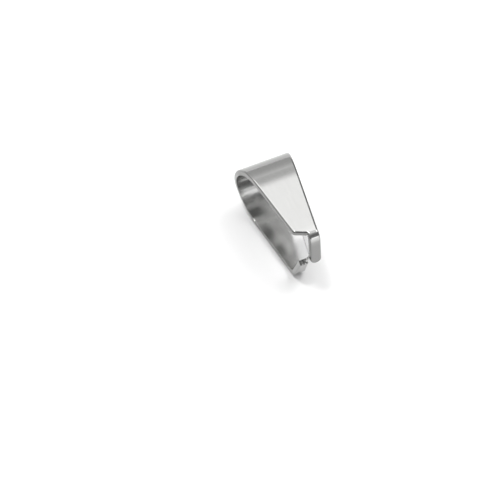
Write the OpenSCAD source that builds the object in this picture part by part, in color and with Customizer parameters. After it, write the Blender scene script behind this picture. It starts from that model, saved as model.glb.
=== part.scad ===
// Snap bail: one strip of stainless sheet, widest in its middle, folded into a loop
// and left open, so that it snaps over a chain and takes a pendant on its pin.
// X runs across the strip, +Y toward the fold, -Y toward the opening, and +Z up.
// The hook leg lies flat on z = 0, with the pin leg above it.

/* [Sheet] */
// Thickness of the sheet
sheet_t = 0.5; // [0.45:0.05:0.6]
// Width of the strip at its widest place, on the fold
strip_w = 5; // [4.8:0.1:6]
// Angle by which each side of the strip narrows toward its tips
taper_angle = 8; // [6:0.25:8.5]
// Half length of the stretch on the fold where the two tapers blend
blend_len = 1.8; // [1:0.1:2.5]
// Distance of the widest place from the fold's middle, toward the pin leg
widest_shift = 0.64; // [0:0.02:0.8]

/* [Fold] */
// Outer radius of the fold
fold_r = 3.45; // [3.2:0.05:3.8]
// Angle by which the pin leg opens away from the hook leg
leg_spread = 2.9; // [0:0.1:4]
// Length of the flat of the pin leg, from the fold to the pin's bend
pin_leg_len = 6.85; // [6:0.05:7.2]
// Length of the flat of the hook leg, from the fold to the hook's bend
hook_leg_len = 5.22; // [4.8:0.02:5.4]

/* [Pin] */
// Width of the pin, which has a fully round end
pin_w = 0.98; // [0.9:0.02:1.1]
// Outer radius of the bend at the pin's root
pin_bend_r = 0.65; // [0.65:0.05:1]
// Angle through which the pin is bent down from its leg
pin_angle = 88; // [80:1:95]
// Reach of the pin, measured from the outer face of its leg
pin_reach = 3.78; // [3:0.02:3.9]

/* [Hook] */
// Width of the hook at its root
hook_w = 1.17; // [0.95:0.02:1.25]
// Width of the hook at its free end
hook_end_w = 0.82; // [0.6:0.02:0.94]
// Outer radius of the bend at the hook's root
hook_bend_r = 1.1; // [0.9:0.05:1.2]
// Angle through which the hook is bent up from its leg
hook_angle = 72; // [60:1:85]
// Reach of the hook, measured from the outer face of its leg
hook_reach = 2.88; // [2.4:0.02:3]
// Radius of the hook's two free corners
hook_corner_r = 0.2; // [0.1:0.05:0.35]

/* [Shoulders] */
// Slope of the shoulder beside the pin
pin_shoulder_angle = 26; // [15:1:30]
// Slope of the shoulder beside the hook
hook_shoulder_angle = 22; // [15:1:30]
// Radius of the outer corner of each shoulder
shoulder_r = 0.35; // [0.2:0.05:0.45]

/* [Hidden] */

taper = tan(taper_angle);
fold_turn = 180 - leg_spread;
pin_heading = fold_turn + pin_angle;

// Steps round the fold, round a bend, round a shoulder's corner and round a free end
fold_steps = 48;
bend_steps = 12;
corner_steps = 6;
end_steps = 9;
// The steps round a free end stop at this angle, which leaves it a small flat
end_angle = 80;

// The strip is followed from the hook's tip, round the fold, to the pin's tip. Its
// heading is 0 along the hook leg and grows as the strip turns toward its inside.
function ahead(heading) = [cos(heading), sin(heading)];
function outward(heading) = [sin(heading), -cos(heading)];

// Distance along the outer face from the widest place to a heading on the fold
function fold_distance(heading) = fold_r * PI / 180 * (heading - fold_turn / 2) - widest_shift;

// Half the strip's width at a distance s from the widest place: a shallow arch between
// two straight tapers
function half_width(s) =
    strip_w / 2 - taper * (abs(s) < blend_len ? s * s / (2 * blend_len) : abs(s) - blend_len / 2);

hook_root_half = half_width(fold_distance(0));
pin_root_half = half_width(fold_distance(fold_turn));
hook_tip_half = hook_root_half - taper * hook_leg_len;
pin_tip_half = pin_root_half - taper * pin_leg_len;

// Length of the hook round its bend, and of the hook and the pin beyond their bends
hook_bend_len = hook_bend_r * PI / 180 * hook_angle;
hook_flat = (hook_reach - hook_bend_r * (1 - cos(hook_angle))) / sin(hook_angle);
pin_flat = (pin_reach - pin_bend_r * (1 - cos(pin_angle))) / sin(pin_angle);

// Low and high side of the hook and of the pin. The hook's low side slants inward evenly
// from its root to its free end; the other three sides are straight.
hook_low = -hook_tip_half;
hook_high = hook_w - hook_tip_half;
hook_end_low = hook_high - hook_end_w;
hook_bend_low = hook_low + (hook_end_low - hook_low) * hook_bend_len / (hook_bend_len + hook_flat);
pin_low = pin_tip_half - pin_w;
pin_high = pin_tip_half;

function unit(v) = v / norm(v);
function reversed(list) = [for (i = [len(list) - 1 : -1 : 0]) list[i]];

// Points of an arc of radius r that rounds the corner at b, on the way from a to c
function rounded(a, b, c, r) =
    let (
        u = unit(a - b),
        v = unit(c - b),
        half = acos(u * v) / 2,
        centre = b + unit(u + v) * r / sin(half),
        start = b + u * r / tan(half) - centre,
        turn = sign(v[0] * u[1] - v[1] * u[0]) * (180 - 2 * half)
    )
    [for (i = [0 : corner_steps])
        let (t = turn * i / corner_steps)
        centre + [start[0] * cos(t) - start[1] * sin(t), start[0] * sin(t) + start[1] * cos(t)]];

// Rows of a leg's flat from the fold to its tip: [distance, shoulder side, tongue side],
// the sides as distances from the centre line. The shoulder slopes from the plain taper
// of its own side to the root of the tongue.
function leg_rows(root_half, tip_half, len, tongue_w, shoulder_angle) =
    let (
        slope = tan(shoulder_angle),
        root_x = tip_half - tongue_w,
        shoulder_half = (tip_half + taper * slope * root_x) / (1 - taper * slope),
        fold_corner = [0, -root_half],
        shoulder = [len - slope * (root_x + shoulder_half), -shoulder_half],
        tongue_root = [len, root_x],
        edge = concat([fold_corner], rounded(fold_corner, shoulder, tongue_root, shoulder_r),
            [tongue_root])
    )
    [for (p = edge) [p[0], p[1], root_half - taper * p[0]]];

// Rows of a tongue's flat from its bend to its free end: [distance, low side, high side].
// The low side goes from low to end_low, and r rounds the free corners.
function tongue_rows(len, low, end_low, high, r) =
    concat([[0, low, high]],
        [for (i = [0 : end_steps])
            let (
                t = end_angle * i / end_steps,
                inset = r * (1 - cos(t)),
                d = len - r + r * sin(t) / sin(end_angle)
            )
            [d, low + (end_low - low) * d / len + inset, high - inset]]);

// A station of the sweep: the place on the outer face as y and z from the fold's centre,
// the heading there, and the two sides
function station(centre, r, heading, d, low, high) =
    let (p = centre + r * outward(heading) + d * ahead(heading))
    [p[0], p[1], heading, low, high];

// Stations inside a bend, where the heading and the low side change evenly
function bend_stations(centre, r, from, to, low_from, low_to, high) =
    [for (i = [1 : bend_steps - 1])
        let (part = i / bend_steps)
        station(centre, r, from + (to - from) * part, 0, low_from + (low_to - low_from) * part, high)];

fold_centre = [0, 0];
hook_centre = (fold_r - hook_bend_r) * outward(0) - hook_leg_len * ahead(0);
pin_centre = (fold_r - pin_bend_r) * outward(fold_turn) + pin_leg_len * ahead(fold_turn);

hook_rows = tongue_rows(hook_flat, hook_bend_low, hook_end_low, hook_high, hook_corner_r);
hook_leg_rows = leg_rows(hook_root_half, hook_tip_half, hook_leg_len, hook_w, hook_shoulder_angle);
pin_leg_rows = leg_rows(pin_root_half, pin_tip_half, pin_leg_len, pin_w, pin_shoulder_angle);
pin_rows = tongue_rows(pin_flat, pin_low, pin_low, pin_high, pin_w / 2);

strip = concat(
    [for (row = reversed(hook_rows))
        station(hook_centre, hook_bend_r, -hook_angle, -row[0], row[1], row[2])],
    bend_stations(hook_centre, hook_bend_r, -hook_angle, 0, hook_bend_low, hook_low, hook_high),
    [for (row = reversed(hook_leg_rows))
        station(fold_centre, fold_r, 0, -row[0], -row[2], -row[1])],
    [for (i = [1 : fold_steps - 1])
        let (heading = fold_turn * i / fold_steps, half = half_width(fold_distance(heading)))
        station(fold_centre, fold_r, heading, 0, -half, half)],
    [for (row = pin_leg_rows)
        station(fold_centre, fold_r, fold_turn, row[0], row[1], row[2])],
    bend_stations(pin_centre, pin_bend_r, fold_turn, pin_heading, pin_low, pin_low, pin_high),
    [for (row = pin_rows)
        station(pin_centre, pin_bend_r, pin_heading, row[0], row[1], row[2])]);

// The model stands over the middle of its own box: the fold is furthest back, and the
// outer face of the pin's tip is furthest forward
front_y = min([for (s = strip) s[0]]);
fold_centre_y = -(fold_r + front_y) / 2;

// Closed solid through the stations: four corners at each, two on the outer face and two
// a sheet's thickness further in
module sheet_strip(stations) {
    points = [for (s = stations)
        let (inner = [s[0], s[1]] - sheet_t * outward(s[2]))
        each [
            [s[3], s[0], s[1]],
            [s[4], s[0], s[1]],
            [s[4], inner[0], inner[1]],
            [s[3], inner[0], inner[1]]]];
    last = 4 * (len(stations) - 1);
    sides = [for (a = [0 : 4 : last - 4], k = [0 : 3])
        let (p = a + k, q = a + (k + 1) % 4)
        each [[p, q + 4, p + 4], [p, q, q + 4]]];
    polyhedron(points, concat(sides, [[3, 2, 1, 0], [last, last + 1, last + 2, last + 3]]));
}

module snap_bail() {
    color("silver")
        translate([0, fold_centre_y, fold_r])
            sheet_strip(strip);
}

snap_bail();
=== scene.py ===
# %% [markdown]
# # A snap bail in stainless sheet
#
# A snap bail hangs a pendant on a chain. The real one starts as a flat blank, stamped
# out of stainless sheet and widest in its middle. A press folds it into a loop and bends
# a pin down from one leg and a hook up from the other, and a tumbler then rounds its
# edges and brightens it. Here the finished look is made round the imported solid, in the
# same frame and in metres, with the sizes written in millimetres.

import math

import bpy
import numpy as np
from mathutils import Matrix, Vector


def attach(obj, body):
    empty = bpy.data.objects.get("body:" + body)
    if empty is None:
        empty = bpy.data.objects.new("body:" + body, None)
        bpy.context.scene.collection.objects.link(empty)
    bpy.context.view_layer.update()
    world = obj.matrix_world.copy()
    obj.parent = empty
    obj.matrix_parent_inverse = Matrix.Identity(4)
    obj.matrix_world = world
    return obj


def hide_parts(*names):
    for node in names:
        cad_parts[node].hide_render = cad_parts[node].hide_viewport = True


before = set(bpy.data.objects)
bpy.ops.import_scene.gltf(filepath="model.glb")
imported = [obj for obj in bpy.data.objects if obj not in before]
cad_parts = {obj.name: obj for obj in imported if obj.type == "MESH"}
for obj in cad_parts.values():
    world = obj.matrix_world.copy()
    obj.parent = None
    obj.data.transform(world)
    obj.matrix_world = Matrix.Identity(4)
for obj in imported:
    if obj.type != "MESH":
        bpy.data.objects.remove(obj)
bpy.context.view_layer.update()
MM = 0.001

# %% [markdown]
# ## The path of the strip
#
# A folded strip can be modelled by pushing faces round a fold, or with a curve and a
# bevel. But a press does something simpler: it leaves every length in the flat blank as
# it was and only turns the strip's heading. So the path is a list of stretches, each
# with a length and a turn. Straight stretches turn by nothing, and a bend turns evenly.
# It starts from the solid's own sizes: angles in degrees, the rest in millimetres.

# %% Sizes of the folded strip
SHEET = 0.5  # thickness
HOOK_ANGLE, HOOK_BEND_R, HOOK_REACH = 72.0, 1.1, 2.88
HOOK_LEG, FOLD_R, FOLD_TURN, PIN_LEG = 5.22, 3.45, 180 - 2.9, 6.85
PIN_ANGLE, PIN_BEND_R, PIN_REACH = 88.0, 0.65, 3.78


def flat_length(reach, r, angle):
    """What is left of a tongue beyond its bend: its reach less the height of the bend,
    r times one minus the cosine, then divided by the sine because the tongue leans."""
    return (reach - r * (1 - math.cos(math.radians(angle)))) / math.sin(math.radians(angle))


hook_flat = flat_length(HOOK_REACH, HOOK_BEND_R, HOOK_ANGLE)
print("flat of the hook beyond its bend, mm:", round(hook_flat, 3))

# %% [markdown]
# Sheet springs back a little beside a bend, which leaves a slack curve before the flat. A
# bare arc that runs straight into a flat shows a hard line in the reflections, so the
# fold hands a few degrees of its turn to such a run-out.

# %% The fold and its run-out
FOLD_SLACK, FOLD_RUN_OUT = 4.0, 1.3  # degrees, and mm along the strip


def with_run_out(r, turn, slack, length):
    """A bend of radius r that leaves the last slack degrees to a run-out still has to meet
    its leg's line. Its new radius is the height between the two lines, less what the
    run-out climbs, over the difference of the cosines. Also gives the length that the
    run-out takes from the leg."""
    turn, slack = math.radians(turn), math.radians(slack)
    tighter = r * (1 - math.cos(turn)) - length * math.sin(slack / 2)
    tighter /= math.cos(slack) - math.cos(turn)
    taken = tighter * (math.sin(turn) - math.sin(slack)) + length * math.cos(slack / 2)
    return tighter, taken - r * math.sin(turn)


fold_r, taken_by_fold = with_run_out(FOLD_R, FOLD_TURN, FOLD_SLACK, FOLD_RUN_OUT)
print("radius of the fold, mm:", round(fold_r, 3))

# %% [markdown]
# The pin's bend has a slack curve on either side. These three arcs are rounder than one
# tight arc and take more from both flats. The corner where the two flats would meet has
# to stay where it is, and that says how much more.

# %% The bend of the pin
PIN_EASED_R = 0.72
PIN_SLACK_IN, PIN_RUN_IN = 3.0, 0.6
PIN_SLACK_OUT, PIN_RUN_OUT = 14.0, 0.5


def eased(pieces):
    """Lengths that a bend of several arcs takes from the straight before it and the one
    after it, measured from the corner where the two straights would meet. Each arc of
    radius r from heading a to b goes r times (sin b - sin a, cos a - cos b)."""
    x = y = a = 0.0
    for turn, length in pieces:
        b = a + math.radians(turn)
        r = length / (b - a)
        x, y = x + r * (math.sin(b) - math.sin(a)), y + r * (math.cos(a) - math.cos(b))
        a = b
    return x - y / math.tan(a), y / math.sin(a)


pin_bend_turn = PIN_ANGLE - PIN_SLACK_IN - PIN_SLACK_OUT
PIN_BEND = [
    (PIN_SLACK_IN, PIN_RUN_IN), (pin_bend_turn, PIN_EASED_R * math.radians(pin_bend_turn)),
    (PIN_SLACK_OUT, PIN_RUN_OUT)]
before, after = eased(PIN_BEND)
plain = PIN_BEND_R * math.tan(math.radians(PIN_ANGLE) / 2)
taken_by_pin = before - plain
pin_flat = flat_length(PIN_REACH, PIN_BEND_R, PIN_ANGLE) + plain - after
print("taken from the pin leg and the pin, mm:", round(taken_by_pin, 3), round(after - plain, 3))

# %% [markdown]
# With every bend known, the whole path is one list from the hook's tip to the pin's tip.
# The running sums of its lengths and turns are all that the rest of the model reads.

# %% The stretches in order
# stretch, length in mm along the outer face, turn in degrees
STRETCHES = [
    ("hook", hook_flat, 0),
    ("hook bend", HOOK_BEND_R * math.radians(HOOK_ANGLE), HOOK_ANGLE),
    ("hook leg", HOOK_LEG, 0),
    ("fold", fold_r * math.radians(FOLD_TURN - FOLD_SLACK), FOLD_TURN - FOLD_SLACK),
    ("run-out of the fold", FOLD_RUN_OUT, FOLD_SLACK),
    ("pin leg", PIN_LEG - taken_by_fold - taken_by_pin, 0),
    ("run-in of the pin bend", PIN_BEND[0][1], PIN_BEND[0][0]),
    ("pin bend", PIN_BEND[1][1], PIN_BEND[1][0]),
    ("run-out of the pin bend", PIN_BEND[2][1], PIN_BEND[2][0]),
    ("pin", pin_flat, 0),
]
knots = np.cumsum([0.0] + [length for _, length, _ in STRETCHES])
headings = np.radians(np.cumsum([-HOOK_ANGLE] + [turn for _, _, turn in STRETCHES]))
HOOK_ROOT, FOLD_START, PIN_TIP = knots[[2, 3, 10]]
PIN_ROOT = knots[6] + taken_by_pin
FOLD_END = PIN_ROOT - PIN_LEG
print("the blank is", round(PIN_TIP, 2), "mm long")

# %% [markdown]
# The place on the path follows from the heading alone. On a straight it goes on in one
# direction. On a bend the change of the outward direction, divided by the curvature, is
# exactly the way gone, so no step by step sum is needed and whole arrays go through.


# %% From a distance along the path to a place
def ahead(heading):
    """Unit vector (y, z) along the strip: the cosine and sine of its heading."""
    return np.stack([np.cos(heading), np.sin(heading)], -1)


def outward(heading):
    """Unit vector (y, z) out of the strip's outer face, a quarter turn behind ahead."""
    return np.stack([np.sin(heading), -np.cos(heading)], -1)


curvature = np.diff(headings) / np.diff(knots)


def along(stretch, distance):
    """Way gone (y, z) inside a stretch: distance times ahead on a straight, and the
    difference of the outward directions over the curvature on a bend."""
    k = curvature[stretch][:, None]
    start = headings[stretch]
    turned = outward(start + curvature[stretch] * distance) - outward(start)
    straight = distance[:, None] * ahead(start)
    return np.where(k == 0, straight, turned / np.where(k == 0, 1, k))


steps = along(np.arange(len(STRETCHES)), np.diff(knots))
corners = np.vstack([[0, 0], np.cumsum(steps, 0)])


def on_path(s):
    """Place (y, z) and heading at each distance s along the outer face."""
    stretch = np.clip(np.searchsorted(knots, s, "right") - 1, 0, len(STRETCHES) - 1)
    distance = s - knots[stretch]
    return corners[stretch] + along(stretch, distance), headings[stretch] + curvature[stretch] * distance


# the path is centred on its length and set on the floor, as the solid is
path, _ = on_path(np.linspace(0, PIN_TIP, 2000))
SHIFT = -np.array([(path[:, 0].min() + path[:, 0].max()) / 2, path[:, 1].min()])
print("shift of the path, mm:", SHIFT.round(3))

# %% [markdown]
# ## The outline of the blank
#
# The blank's two sides are straight tapers that meet in a shallow arch at the widest
# place. Beside each tongue a shoulder slopes in to the tongue's root. Booleans or bevels
# could cut that shape, but each side is just a height over the length of the strip, so
# it is written as a function. The taper comes first.

# %% The taper on either side of the widest place
STRIP_W, TAPER, BLEND = 5.0, math.tan(math.radians(8)), 1.8
WIDEST = (FOLD_START + FOLD_END) / 2 + 0.64  # a little past the middle of the fold


def half_width(s):
    """Half of the strip's width, less the taper times the distance from the widest
    place, with a parabola in place of the peak."""
    d = np.abs(s - WIDEST)
    return STRIP_W / 2 - TAPER * np.where(d < BLEND, d * d / (2 * BLEND), d - BLEND / 2)


hook_low, pin_high = -half_width(HOOK_ROOT), half_width(PIN_ROOT)
print("half width at the hook and at the pin, mm:", round(-hook_low, 3), round(pin_high, 3))

# %% [markdown]
# Wherever two straight lines of a side meet, the die has a true arc, and so have the free
# ends of both tongues. These are heights over the length as well.


# %% Rounded corners of the outline
def rounded(s, s0, x0, before, after, r):
    """Two lines of slopes before and after that meet at (s0, x0), joined by an arc. It
    touches each line at r times the tangent of half the turn from the corner, and its
    height is the centre's less the other leg of a right triangle on the radius."""
    a, b = math.atan(before), math.atan(after)
    reach, up = r * abs(math.tan((b - a) / 2)), math.copysign(1, b - a)
    centre_s = s0 - reach * math.cos(a) - up * r * math.sin(a)
    centre_x = x0 - reach * math.sin(a) + up * r * math.cos(a)
    arc = centre_x - up * np.sqrt(np.clip(r * r - (s - centre_s) ** 2, 0, None))
    x = np.where(s < s0 - reach * math.cos(a), x0 + before * (s - s0), arc)
    return np.where(s > s0 + reach * math.cos(b), x0 + after * (s - s0), x)


def round_end(depth, r):
    """How far a round corner of radius r stands back at a depth behind the end: the
    radius less the other leg of a right triangle whose long side is the radius."""
    rest = np.clip(r - depth, 0, r)
    return r - np.sqrt(r * r - rest * rest)


ROOT_R, SHOULDER_R = 0.1, 0.35
print("a square corner of the shoulder's radius is cut by, mm:",
      round(-float(rounded(0.0, 0.0, 0.0, 1.0, -1.0, SHOULDER_R)), 3))

# %% [markdown]
# Now the two sides can be put together. The hook keeps to the low side of the blank and
# the pin to the high side, so each shoulder is on the other side of its leg.

# %% The two sides as functions of the length
HOOK_W, HOOK_END_W, PIN_W = 1.17, 0.82, 0.98
HOOK_SHOULDER, PIN_SHOULDER = math.tan(math.radians(22)), math.tan(math.radians(26))
# the pin's end is all but a half circle, and a narrow flat keeps its last row open
HOOK_CORNER, PIN_CORNER = 0.2, PIN_W / 2 * 0.96
hook_high, pin_low = hook_low + HOOK_W, pin_high - PIN_W
# length of each shoulder: the step it makes, over its slope less that of the plain taper
hook_step = -(hook_low + hook_high) / (1 / HOOK_SHOULDER - TAPER)
pin_step = (pin_low + pin_high) / (1 / PIN_SHOULDER - TAPER)


def sides(s):
    """Low and high side of the blank at each distance s."""
    slant = hook_low + (HOOK_W - HOOK_END_W) * (HOOK_ROOT - s) / HOOK_ROOT
    low = np.where(s < HOOK_ROOT, slant, -half_width(s))
    corner = PIN_ROOT - pin_step, pin_low - pin_step / PIN_SHOULDER
    shoulder = np.where(
        s < PIN_ROOT - pin_step / 2, rounded(s, *corner, TAPER, 1 / PIN_SHOULDER, SHOULDER_R),
        rounded(s, PIN_ROOT, pin_low, 1 / PIN_SHOULDER, 0, ROOT_R))
    low = np.where(s > WIDEST + BLEND, shoulder, low)
    high = np.maximum(half_width(s), pin_high)
    corner = HOOK_ROOT + hook_step, hook_high + hook_step / HOOK_SHOULDER
    shoulder = np.where(
        s < HOOK_ROOT + hook_step / 2, rounded(s, HOOK_ROOT, hook_high, 0, 1 / HOOK_SHOULDER, ROOT_R),
        rounded(s, *corner, 1 / HOOK_SHOULDER, TAPER, SHOULDER_R))
    high = np.where(s < WIDEST - BLEND, shoulder, high)
    back = round_end(s, HOOK_CORNER) + round_end(PIN_TIP - s, PIN_CORNER)
    return low + back, high - back


print("shoulders, mm long:", round(hook_step, 3), round(pin_step, 3))

# %% [markdown]
# A grid with even rows would be too coarse in the small corners or needlessly fine on the
# flats. So the rows, called stations here, come close together where a side turns
# quickly or the strip bends, and crowd toward the two round ends.

# %% The stations
# from, to, steps
STATIONS = [
    (HOOK_CORNER, HOOK_ROOT - 0.15, 36),
    (HOOK_ROOT - 0.15, HOOK_ROOT + 1.2, 88),
    (HOOK_ROOT + 1.2, FOLD_START, 20),
    (FOLD_START, FOLD_END, 144),
    (FOLD_END, PIN_ROOT - 1.05, 24),
    (PIN_ROOT - 1.05, PIN_ROOT + 0.15, 82),
    (PIN_ROOT + 0.15, PIN_ROOT + 1.7, 56),
    (PIN_ROOT + 1.7, PIN_TIP - PIN_CORNER, 12),
]
quarter = 1 - np.cos(np.linspace(0, np.pi / 2, 17))
stations = np.unique(np.concatenate(
    [np.linspace(*row) for row in STATIONS]
    + [HOOK_CORNER * quarter, PIN_TIP - PIN_CORNER * quarter]).round(6))
low_side, high_side = sides(stations)
print(len(stations), "stations, widest", round((high_side - low_side).max(), 3), "mm")

# %% [markdown]
# ## From the blank to a plate with rounded edges
#
# A box with a Bevel modifier would clamp its bevel at the tight bends, and round both
# faces alike. A stamping die rolls the edge over widely on the face it meets first, here
# the outer one, and leaves the other face nearly sharp. So the outline is one closed
# loop, and a quarter ellipse is carried along it on the outer face and a tiny quarter
# circle on the inner one. The two broad faces are grids stretched across the loop.

# %% The closed outline and its outward direction
COLUMNS = 28
across = np.linspace(0, 1, COLUMNS + 1)[1:-1]


def end_row(i):
    """Points between the low and high side at station i, without the two corners."""
    x = low_side[i] + (high_side[i] - low_side[i]) * across
    return np.stack([x, np.full_like(x, stations[i])], -1)


loop = np.vstack([
    np.stack([low_side, stations], -1), end_row(-1),
    np.stack([high_side, stations], -1)[::-1], end_row(0)[::-1]])
edge = np.roll(loop, -1, 0) - loop
edge /= np.linalg.norm(edge, axis=1, keepdims=True)
tangent = edge + np.roll(edge, 1, 0)
tangent /= np.linalg.norm(tangent, axis=1, keepdims=True)
loop_out = np.stack([-tangent[:, 1], tangent[:, 0]], -1)
run = np.concatenate([[0], np.cumsum(np.linalg.norm(np.diff(loop, axis=0), axis=1))])
print("outline:", len(loop), "points,", round(run[-1], 2), "mm round")

# %% [markdown]
# Each ring of the edge is the loop moved in by a little and set at some depth. The
# quarter ellipse gives both: its width times one minus the sine of an angle is the inset,
# its depth times one minus the cosine is the depth, and the normal mixes the two
# directions by the cosine over the depth and the sine over the width.

# %% Rings round the edge
ROLL_WIDTH, ROLL_DEPTH, INNER_EDGE = 0.19, 0.14, 0.05  # mm
OUTER_RINGS, INNER_RINGS = 9, 5


def edge_round(width, depth, rings):
    """Inset, depth and the two parts of the normal, from the face round to the side."""
    angle = np.radians(np.linspace(0, 90, rings))
    face, side = np.cos(angle) / depth, np.sin(angle) / width
    size = np.hypot(face, side)
    return np.stack([width * (1 - np.sin(angle)), depth * (1 - np.cos(angle)), face / size, side / size])


outer_round = edge_round(ROLL_WIDTH, ROLL_DEPTH, OUTER_RINGS)
inner_round = edge_round(INNER_EDGE, INNER_EDGE, INNER_RINGS)[:, ::-1]
inner_round[1] = SHEET - inner_round[1]
inner_round[2] *= -1
ring_inset, ring_depth, ring_face, ring_side = np.concatenate([outer_round, inner_round], 1)
rings = loop[None] - ring_inset[:, None, None] * loop_out[None]
print(len(rings), "rings of", len(loop), "points")

# %% [markdown]
# A broad face shares its border with the first or the last ring, so that the shell is
# closed. Only the points inside it are new, and they divide each row evenly.

# %% The two broad faces and the whole plate
n_rows, n_loop, n_rings = len(stations), len(loop), len(rings)


def face_grid(ring, first):
    """Index grid over one broad face, from the ring round it and new points inside:
    on each row they divide the way from the low to the high side evenly. Gives the
    grid and the new points."""
    index = np.arange(n_loop) + ring * n_loop
    low, high = index[:n_rows], index[n_rows + COLUMNS - 1 : 2 * n_rows + COLUMNS - 1][::-1]
    grid = np.zeros((n_rows, COLUMNS + 1), int)
    grid[:, 0], grid[:, -1] = low, high
    grid[-1, 1:-1] = index[n_rows : n_rows + COLUMNS - 1]
    grid[0, 1:-1] = index[2 * n_rows + COLUMNS - 1 :][::-1]
    grid[1:-1, 1:-1] = first + np.arange((n_rows - 2) * (COLUMNS - 1)).reshape(n_rows - 2, -1)
    a, b = rings[ring, low - ring * n_loop], rings[ring, high - ring * n_loop]
    inner = a[1:-1, None] + (b - a)[1:-1, None] * across[None, :, None]
    return grid, inner.reshape(-1, 2)


outer_grid, outer_inner = face_grid(0, n_rings * n_loop)
inner_grid, inner_inner = face_grid(n_rings - 1, n_rings * n_loop + len(outer_inner))
n_face = len(outer_inner)

flat = np.vstack([rings.reshape(-1, 2), outer_inner, inner_inner])
flat_depth = np.concatenate([np.repeat(ring_depth, n_loop), np.zeros(n_face), np.full(n_face, SHEET)])
face_part = np.concatenate([np.repeat(ring_face, n_loop), np.ones(n_face), -np.ones(n_face)])
side_part = np.concatenate([np.repeat(ring_side, n_loop), np.zeros(2 * n_face)])
side_dir = np.vstack([np.tile(loop_out, (n_rings, 1)), np.zeros((2 * n_face, 2))])
edge_run = np.concatenate([np.tile(run, n_rings), np.zeros(2 * n_face)])
print(len(flat), "points on the plate")

# %% [markdown]
# ## Folding the plate
#
# The press is now one line: every point of the flat plate goes to its place on the path
# and then inward by its depth. The normals go the same way, so that the shading is
# exact on the flats and on the small round edges alike.

# %% Places and normals in the frame
place, heading = on_path(flat[:, 1])
place = place + SHIFT - flat_depth[:, None] * outward(heading)
points = np.column_stack([flat[:, 0], place]) * MM
normal_yz = face_part[:, None] * outward(heading) + (side_part * side_dir[:, 1])[:, None] * ahead(heading)
normals = np.column_stack([side_part * side_dir[:, 0], normal_yz])
normals /= np.linalg.norm(normals, axis=1, keepdims=True)
print("folded, mm:", (points.min(0) / MM).round(3), (points.max(0) / MM).round(3))

# %% [markdown]
# The faces come from the index grids: one for each broad face, and one round the edge
# whose last column is its first again. The enclosed volume tells whether they point
# outward.


# %% Faces
def quads(grid):
    """Quads of an index grid, each from a corner, the next row, and the next column."""
    return np.stack([grid[:-1, :-1], grid[1:, :-1], grid[1:, 1:], grid[:-1, 1:]], -1).reshape(-1, 4)


ring_grid = np.arange(n_rings * n_loop).reshape(n_rings, n_loop)
ring_grid = np.column_stack([ring_grid, ring_grid[:, :1]])
faces = np.vstack([quads(outer_grid), quads(ring_grid), quads(inner_grid)[:, ::-1]])


def volume(points, faces):
    """Enclosed volume: a sixth of the triple products of each face's two triangles."""
    a, b, c, d = (points[faces[:, k]] for k in range(4))
    return (np.einsum("ij,ij->", a, np.cross(b, c)) + np.einsum("ij,ij->", a, np.cross(c, d))) / 6


if volume(points, faces) < 0:
    faces = faces[:, ::-1]
print("volume, mm3:", round(volume(points, faces) / MM**3, 2))

# %% [markdown]
# Beside its shape the mesh carries two attributes for the finish. One is the place on the
# flat blank: across, along and deep. The other is the place on the edge: the way round
# the outline, the depth, and how far the surface faces sideways, from 0 to 1.

# %% The sheet as a Blender object
mesh = bpy.data.meshes.new("bail_sheet")
mesh.from_pydata(points.tolist(), [], faces.tolist())
mesh.polygons.foreach_set("use_smooth", np.ones(len(faces), bool))
for name, columns in (("sheet_place", [flat, flat_depth]), ("edge_place", [edge_run, flat_depth, side_part])):
    mesh.attributes.new(name, "FLOAT_VECTOR", "POINT").data.foreach_set(
        "vector", np.column_stack(columns).astype(np.float32).ravel())
mesh.validate()
mesh.normals_split_custom_set_from_vertices(normals.astype(np.float32))
bail_sheet = bpy.data.objects.new("bail_sheet", mesh)
bpy.context.scene.collection.objects.link(bail_sheet)
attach(bail_sheet, "root")
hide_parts("snap_bail")
print(len(mesh.polygons), "faces")

# %% [markdown]
# ## Tumbled stainless sheet
#
# Stainless sheet comes from the mill with a fine grain along its length. Tumbling in steel shot brightens it
# to a soft mirror and leaves tiny dents, a few hundredths of a millimetre across. The stamped edge shows
# lines across the thickness where the die sheared it. Some places carry painted reflections and painted
# shade, brighter or darker than the rest. A painted picture could hold all that, but it would stretch in the
# bends. Nodes that read the place on the flat blank, in millimetres, follow the sheet round every bend
# instead.


# %% Helpers for colours and nodes
def linear(hex_colour):
    """sRGB hex to linear: each channel over 12.92 below the knee, else a power of 2.4."""
    c = np.array([int(hex_colour[i : i + 2], 16) for i in (1, 3, 5)]) / 255
    return (*np.where(c <= 0.04045, c / 12.92, ((c + 0.055) / 1.055) ** 2.4), 1.0)


def add(tree, kind, inputs=None, **settings):
    """Adds a node, sets its settings, and fills inputs with values or links. A node
    given for an input is linked by the first of its outputs that is in use."""
    node = tree.nodes.new(kind)
    for name, value in settings.items():
        setattr(node, name, value)
    for name, value in (inputs or {}).items():
        if isinstance(value, bpy.types.Node):
            value = next(output for output in value.outputs if output.enabled)
        if isinstance(value, bpy.types.NodeSocket):
            tree.links.new(value, node.inputs[name])
        else:
            node.inputs[name].default_value = value
    return node


def set_stops(ramp, stops):
    """Gives a colour ramp its stops, each a place from 0 to 1 and a linear colour."""
    elements = ramp.color_ramp.elements
    while len(elements) < len(stops):
        elements.new(0.5)
    for element, (place, colour) in zip(elements, stops):
        element.position, element.color = place, colour


print("middle grey, linear:", round(linear("#808080")[0], 3))

# %% [markdown]
# The patterns are noises, each stretched to its real size. The grain runs along the
# sheet and the shear lines across its thickness. The inner face is made wavier than the
# outer one, with dimples over two millimetres wide, which break up what it mirrors.

# %% Patterns of the sheet
steel = bpy.data.materials.new("tumbled_stainless_sheet")
steel.use_nodes = True
tree = steel.node_tree
tree.nodes.clear()

sheet_place = add(tree, "ShaderNodeAttribute", attribute_name="sheet_place").outputs["Vector"]
edge_place = add(tree, "ShaderNodeAttribute", attribute_name="edge_place").outputs["Vector"]
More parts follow.
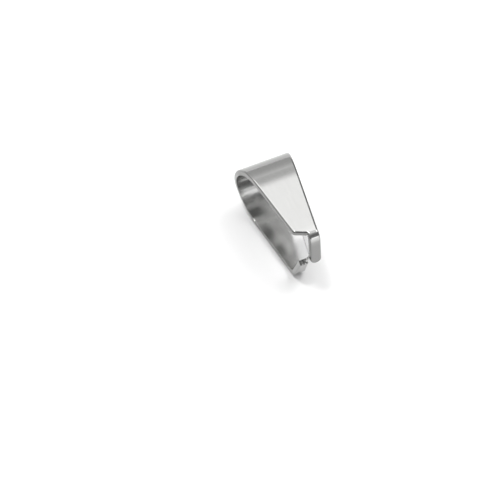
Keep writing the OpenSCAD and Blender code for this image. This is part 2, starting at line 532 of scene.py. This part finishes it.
# the mill's grain: lines 0.08 mm apart and some 2 mm long
grain_place = add(tree, "ShaderNodeMapping", {"Vector": sheet_place, "Scale": (12, 0.5, 12)})
grain = add(tree, "ShaderNodeTexNoise", {"Vector": grain_place, "Scale": 1.0, "Detail": 3.0})
# dents from the tumbler, drawn at 0.15 mm, which is as fine as the render shows
dents = add(tree, "ShaderNodeTexNoise", {
    "Vector": sheet_place, "Scale": 6.5, "Detail": 4.0, "Roughness": 0.6})
# slow unevenness of the sheet, over 2 mm, and the dimples of the inner face
waves = add(tree, "ShaderNodeTexNoise", {"Vector": sheet_place, "Scale": 0.5, "Detail": 1.0})
dimples = add(tree, "ShaderNodeTexNoise", {"Vector": sheet_place, "Scale": 0.45, "Detail": 0.0})
# shear lines across the cut edge, 0.12 mm apart
shear_place = add(tree, "ShaderNodeMapping", {"Vector": edge_place, "Scale": (8, 0.5, 0)})
shear = add(tree, "ShaderNodeTexNoise", {"Vector": shear_place, "Scale": 1.0, "Detail": 2.0})
# torn streaks on the end of the hook, 0.26 mm apart
streaks = add(tree, "ShaderNodeTexWave", {
    "Vector": sheet_place, "Scale": 1.2, "Distortion": 2.0, "Detail": 1.0, "Phase Offset": 1.9},
    wave_type="BANDS", bands_direction="X").outputs["Fac"]
print("patterns:", sum("Tex" in node.bl_idname for node in tree.nodes))

# %% [markdown]
# Each finish has its place on the blank. A soft step along one measure says where it
# begins and where it is full, and a place with limits on two sides, or on two measures,
# is the product of two steps.

# %% Places of the finishes
length, depth = add(tree, "ShaderNodeSeparateXYZ", {"Vector": sheet_place}).outputs[1:]
sideways = add(tree, "ShaderNodeSeparateXYZ", {"Vector": edge_place}).outputs["Z"]
# measure, where the step begins, where it is full: in mm, but from 0 to 1 for sideways
STEPS = {
    "inner face": (depth, 0.35, SHEET),
    # where the outside of the hook gets a painted lighter reflection
    "outside of the hook": (length, 5.0, 2.8),
    # where the pin's bend gets a painted highlight and the pin beyond a painted darker reflection
    "pin": (length, PIN_ROOT + 1.0, PIN_ROOT + 1.8),
    "bend from": (length, PIN_ROOT + 0.1, PIN_ROOT + 0.35),
    "bend to": (length, PIN_ROOT + 1.25, PIN_ROOT + 0.8),
    "edge": (sideways, 0.15, 0.8),
    # where the pin's cut sides get a painted dark reflection
    "pin from": (length, PIN_ROOT, PIN_ROOT + 0.6),
    "side": (sideways, 0.5, 0.95),
    "full side": (sideways, 0.8, 1.0),
    "end of the hook": (length, 0.17, 0.09),
    "streak": (streaks, 0.7, 1.0),
}
where = {
    name: add(tree, "ShaderNodeMapRange", {"Value": value, "From Min": begins, "From Max": full},
              interpolation_type="SMOOTHSTEP")
    for name, (value, begins, full) in STEPS.items()}
for name, first, second in (
        ("bend of the pin", where["bend from"], where["bend to"]),
        ("side of the pin", where["pin from"], where["side"]),
        ("inner dimples", dimples, where["inner face"]),
        ("shear lines", shear, where["full side"])):
    where[name] = add(tree, "ShaderNodeMath", {0: first, 1: second}, operation="MULTIPLY")
print("places:", ", ".join(where))

# %% [markdown]
# ## Tones of the steel
#
# A metal has no colour under its reflection, only a tone that dims it. Stainless steel
# mirrors about 60 percent of the light, which is #CBCBCB. The white table here is
# brighter than what the metal mirrors, so most tones lie lower. Inside the loop, the
# light and dark places of the real bail are probably reflections of what lies around it.
# This tent of light doesn't give them all. So some are painted on the sheet as painted reflections, light and
# dark, that stay on it: first bands across the fold, and then a few patches.

# %% Tones of the inner face, with painted reflections
# painted reflections and painted shade across the fold, as bands of tone
PAINTED_REFLECTION_BANDS = [  # place along the blank in mm, tone
    (5.0, "#CECECD"), (6.5, "#C8C8C7"), (8.0, "#B8B8B7"), (9.5, "#A8A8A7"), (10.2, "#B8B8B7"),
    (10.7, "#A4A4A3"), (11.3, "#8A8A89"), (11.6, "#B8B8B7"), (11.85, "#F0F0EF"),
    (12.2, "#A8A8A7"), (12.55, "#969695"), (12.9, "#B4B4B3"), (13.3, "#F8F8F7"),
    (13.8, "#F8F8F7"), (14.3, "#BEBEBD"), (15.5, "#B8B8B7"), (17.0, "#CECECD")]
length_part = add(tree, "ShaderNodeMapRange", {"Value": length, "From Max": PIN_TIP})
bands = add(tree, "ShaderNodeValToRGB", {"Fac": length_part})
set_stops(bands, [(s / PIN_TIP, linear(colour)) for s, colour in PAINTED_REFLECTION_BANDS])
# the grain of the sheet over the painted reflection bands
inner_grain_and_painted_reflections = add(tree, "ShaderNodeMix", {
    "Factor": grain, "A": bands, "B": linear("#B4B4B3")}, data_type="RGBA")

# place across and along the blank, radius of the full tone and of the whole, in mm; the patches are drawn out
# along the blank. All are painted reflections: the first a painted darker reflection over the open end of the
# hook leg, the second the one painted bright reflection, and the last two small painted dark spots.
PATCH_SHAPE = 0.6  # width over length
PAINTED_REFLECTIONS = [
    (0.9, 4.6, 0.5, 1.7, "#909090"),
    (-0.5, 6.1, 0.1, 1.05, "#E6E6E5"),
    (-1.35, 7.75, 0.2, 0.85, "#868685"),
    (-0.95, 5.45, 0.1, 0.65, "#9A9A99")]
painted_reflections = []
for x, s, core, whole, colour in PAINTED_REFLECTIONS:
    from_centre = add(tree, "ShaderNodeMapping", {
        "Vector": sheet_place, "Location": (-x, -PATCH_SHAPE * s, 0), "Scale": (1, PATCH_SHAPE, 0)})
    from_centre = add(tree, "ShaderNodeVectorMath", {0: from_centre}, operation="LENGTH")
    patch = add(tree, "ShaderNodeMapRange", {
        "Value": from_centre, "From Min": whole, "From Max": core}, interpolation_type="SMOOTHSTEP")
    patch = add(tree, "ShaderNodeMath", {0: patch, 1: where["inner face"]}, operation="MULTIPLY")
    painted_reflections.append((patch, linear(colour)))
print(len(PAINTED_REFLECTION_BANDS), "bands and", len(painted_reflections), "rubbed places inside")

# %% [markdown]
# The tones are laid over each other like coats of paint, from the outer face inward and then over the edge.
# The outside of the hook, also round its bend, is paler than the rest of the outer face, a painted lighter
# reflection. The bend of the pin is paler too, a painted highlight, and the pin beyond it is a little darker,
# a painted darker reflection. The rolled edge and the cut side are duller than the faces and set darker
# still, painted shade for the dark lines along the edges; on the hook they are paler, painted light. The
# narrow pin's cut sides are the darkest, a painted dark reflection. The end of the hook keeps the streaks of
# the cut.

# %% All tones, one over the other
# the cut edge: duller steel, set darker as painted shade for the dark lines along the edges, and painted
# lighter on the hook
edge_tone_with_painted_light_and_shade = add(tree, "ShaderNodeMix", {
    "Factor": where["outside of the hook"], "A": linear("#868685"), "B": linear("#A2A2A1")},
    data_type="RGBA")
streak_tone = add(tree, "ShaderNodeMix", {
    "Factor": where["streak"], "A": linear("#7A7A79"), "B": linear("#BEBEBD")}, data_type="RGBA")
tone = linear("#969695")
for mask, colour in [
        (grain, linear("#9F9F9E")),
        # painted lighter reflection on the outside of the hook
        (where["outside of the hook"], linear("#B8B8B7")),
        # painted darker reflection down the pin
        (where["pin"], linear("#8F8F8E")),
        # painted highlight on the bend of the pin
        (where["bend of the pin"], linear("#C0C0BF")),
        (where["inner face"], inner_grain_and_painted_reflections),
        # the painted reflection patches inside the loop
        *painted_reflections,
        # the edge tone, with its painted shade and the painted light on the hook
        (where["edge"], edge_tone_with_painted_light_and_shade),
        # painted dark reflection on the pin's cut sides
        (where["side of the pin"], linear("#666665")),
        (where["end of the hook"], streak_tone)]:
    tone = add(tree, "ShaderNodeMix", {"Factor": mask, "A": tone, "B": colour}, data_type="RGBA")
print("nodes so far:", len(tree.nodes))

# %% [markdown]
# Roughness and bump do the rest. Tumbled steel is a slightly blurred mirror, with a
# roughness of about 0.1, and a little more inside, where the shot hardly reaches. The
# bumps have depths in millimetres, and each is laid on the one before.

# %% Roughness, bumps and the shader
dented = add(tree, "ShaderNodeMapRange", {
    "Value": dents, "From Min": 0.3, "From Max": 0.7, "To Min": 0.09, "To Max": 0.15})
roughness = add(tree, "ShaderNodeMath", {
    0: where["inner face"], 1: 0.03, 2: dented}, operation="MULTIPLY_ADD")

BUMPS = [  # height, strength, depth in mm
    (waves, 0.5, 0.008),
    (where["inner dimples"], 1.0, 0.06),
    (grain, 0.5, 0.0006),
    (dents, 0.5, 0.001),
    (where["shear lines"], 1.0, 0.008)]
below = {}
for height, strength, bump_depth in BUMPS:
    bump = add(tree, "ShaderNodeBump", {
        "Height": height, "Strength": strength, "Distance": bump_depth * MM, **below})
    below = {"Normal": bump}

shader = add(tree, "ShaderNodeBsdfPrincipled", {
    "Base Color": tone, "Metallic": 1.0, "Roughness": roughness, "Normal": bump})
add(tree, "ShaderNodeOutputMaterial", {"Surface": shader})
bail_sheet.data.materials.append(steel)
for node_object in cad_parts.values():
    node_object.data.materials.clear()
    node_object.data.materials.append(steel)
print("finish:", steel.name, "with", len(tree.nodes), "nodes")

# %% [markdown]
# ## The floor
#
# The bail lies on a matt white card. It could be a plain box, but a single large face will do, since no side
# of it is ever seen. It has no gloss, so that it only catches the soft shadow, and it isn't part of the bail.

# %% The floor
FLOOR = 400 * MM
floor_mesh = bpy.data.meshes.new("floor")
u = np.array([-1.0, 1.0]) * FLOOR
corner_x, corner_y = np.meshgrid(u, u)
floor_mesh.from_pydata(
    np.column_stack([corner_x.ravel(), corner_y.ravel(), np.zeros(4)]).tolist(), [], [[0, 1, 3, 2]])
floor = bpy.data.objects.new("floor", floor_mesh)
bpy.context.scene.collection.objects.link(floor)
card = bpy.data.materials.new("matt_white_card")
card.use_nodes = True
for name, value in (
        ("Base Color", linear("#F7F7F7")), ("Roughness", 0.9), ("Specular IOR Level", 0.0)):
    card.node_tree.nodes["Principled BSDF"].inputs[name].default_value = value
floor_mesh.materials.append(card)
print("floor, mm:", round(2 * FLOOR / MM))

# %% [markdown]
# ## The tent of light
#
# Bright metal shows its surroundings more than itself, so jewellery is photographed in a
# tent of white cloth. Lamps and cards could be objects in the scene, but as patches of
# the world they stay out of every picture and out of the model. The far half of the tent
# is bright high up, which gives the calm light flat of the pin leg, and falls off
# unevenly below, which draws the grey bands on the fold. The near half is dark, so that
# the pin and the edges stand out.

# %% The two halves of the tent
BRIGHTEST = 30.0  # the nodes get every brightness as a part of this one
LOWEST = -0.1  # lowest sine of the elevation on the ramps
FAR_HALF = [  # sine of the elevation, brightness
    (-0.1, 0.86), (0.17, 0.84), (0.32, 0.9), (0.44, 0.98), (0.56, 1.19), (0.655, 1.4), (0.7, 1.02),
    (0.725, 1.02), (0.757, 2.53), (0.85, 2.8), (0.92, 2.5), (1.0, 1.6)]
NEAR_HALF = [
    (-0.1, 0.35), (0.05, 0.35), (0.25, 0.3), (0.48, 0.25), (0.7, 0.2), (0.84, 0.25), (0.93, 0.6),
    (1.0, 1.2)]


def level(brightness):
    """Grey of a brightness, as a part of the brightest."""
    return (*[brightness / BRIGHTEST] * 3, 1)


world = bpy.data.worlds.new("light_tent")
bpy.context.scene.world = world
world.use_nodes = True
sky = world.node_tree
sky.nodes.clear()
direction = add(sky, "ShaderNodeTexCoord").outputs["Generated"]
height = add(sky, "ShaderNodeSeparateXYZ", {"Vector": direction}).outputs["Z"]
height = add(sky, "ShaderNodeMapRange", {"Value": height, "From Min": LOWEST, "From Max": 1.0})
far, near = (add(sky, "ShaderNodeValToRGB", {"Fac": height}) for _ in range(2))
for ramp, rows in ((near, NEAR_HALF), (far, FAR_HALF)):
    set_stops(ramp, [((sine - LOWEST) / (1 - LOWEST), level(bright)) for sine, bright in rows])
print("tent from", LOWEST, "to 1, up to", BRIGHTEST)

# %% [markdown]
# The lamps and cards are round patches with soft borders. A large lamp high on the right
# lights the floor and the cut sides, and a small, strong one almost overhead gives the
# dark shadow close under the hook and the white line above the shoulder. The others only
# draw a line or a band each, as a photographer's small cards do.

# %% Lamps and cards
# azimuth from +Y toward +X, elevation, radius of the core and of the whole in degrees
PATCHES = [
    (20, 0, 60, 84.26, far),  # the far half of the tent
    (-28, 53, 6, 16, level(3.2)),  # light line on the left edge of the pin leg
    (85, 58, 10, 22, level(4.7)),  # the large lamp
    (270, 45, 20, 45, level(0.6)),  # darker line beside that light one
    (-40, 78, 3, 7, level(30.0)),  # the small lamp overhead
    (166, -2, 8, 22, level(1.8)),  # light band on the pin's bend and inside the fold
    (54, 14, 16, 30, level(0.12)),  # black card: dark line on the right edge of the pin leg
    (-57, 12, 14, 28, level(1.0)),  # grey card: outer border of the left edge
]
tent = near
for azimuth, elevation, core, whole, colour in PATCHES:
    a, e = math.radians(azimuth), math.radians(elevation)
    centre = (math.sin(a) * math.cos(e), math.cos(a) * math.cos(e), math.sin(e))
    cosine = add(sky, "ShaderNodeVectorMath", {0: direction, 1: centre}, operation="DOT_PRODUCT")
    patch = add(sky, "ShaderNodeMapRange", {
        "Value": cosine, "From Min": math.cos(math.radians(whole)),
        "From Max": math.cos(math.radians(core))}, interpolation_type="SMOOTHSTEP")
    tent = add(sky, "ShaderNodeMix", {"Factor": patch, "A": tent, "B": colour}, data_type="RGBA")
glow = add(sky, "ShaderNodeBackground", {"Color": tent, "Strength": BRIGHTEST})
add(sky, "ShaderNodeOutputWorld", {"Surface": glow})
bpy.context.scene.view_settings.view_transform = "Standard"
print("patches of the tent:", len(PATCHES))

# %% [markdown]
# ## The camera
#
# Small jewellery is taken with a long lens from above, which keeps parallel edges almost
# parallel. The camera looks down at 56 degrees from the front left, and aims beside the
# bail, because the bail doesn't lie in the middle of the picture. It stands far off, with
# a lens long enough to match.

# %% The camera
TURN, ELEVATION, DISTANCE = math.radians(23.46), math.radians(56.26), 782.6 * MM
AIM = Vector((-3.664, 1.460, 0.0)) * MM
camera_data = bpy.data.cameras.new("camera")
camera_data.lens, camera_data.sensor_width = 675, 36
camera = bpy.data.objects.new("camera", camera_data)
bpy.context.scene.collection.objects.link(camera)
back = Vector((
    -math.sin(TURN) * math.cos(ELEVATION), -math.cos(TURN) * math.cos(ELEVATION), math.sin(ELEVATION)))
camera.location = AIM + back * DISTANCE
camera.rotation_mode = "QUATERNION"
camera.rotation_quaternion = (-back).to_track_quat("-Z", "Y")
bpy.context.scene.camera = camera
print("camera, mm:", [round(c / MM, 1) for c in camera.location])
